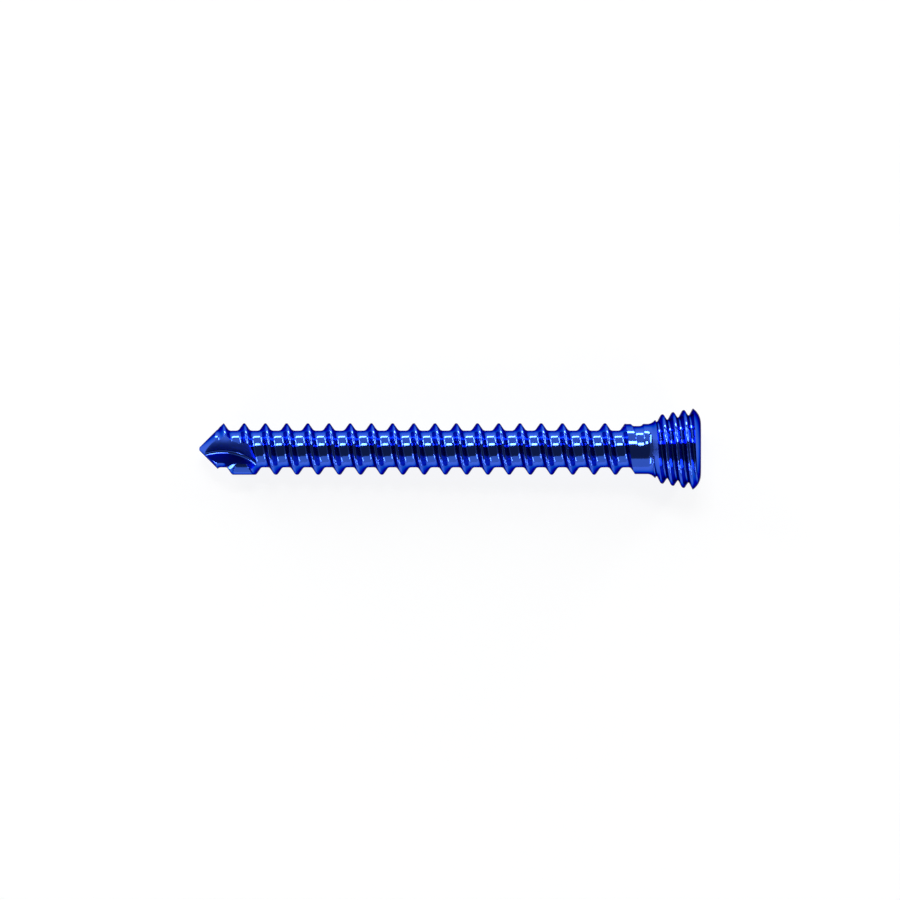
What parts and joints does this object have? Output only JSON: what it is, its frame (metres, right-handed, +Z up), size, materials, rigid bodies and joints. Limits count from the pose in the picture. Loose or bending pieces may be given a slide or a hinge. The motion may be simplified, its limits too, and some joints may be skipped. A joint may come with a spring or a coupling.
{
  "type": "locking bone screw",
  "caption": "Self-drilling locking screw for bone plates, with a threaded tapered head, a driving socket, a plain neck and cutting flutes at the point.",
  "frame": {"origin": "centre of the bounding box in plan, on the plane that the screw lies on", "axes": "the screw lies on its side with its head toward +X and its point toward -X, and +Z is up; its own axis rises about 2 degrees toward the head, because the head is wider than the thread"},
  "size_m": [0.034, 0.0056, 0.0055],
  "materials": {
    "anodised_titanium": "polished"
  },
  "bodies": {
    "root": {"locking_screw": "anodised_titanium"}
  },
  "joints": []
}
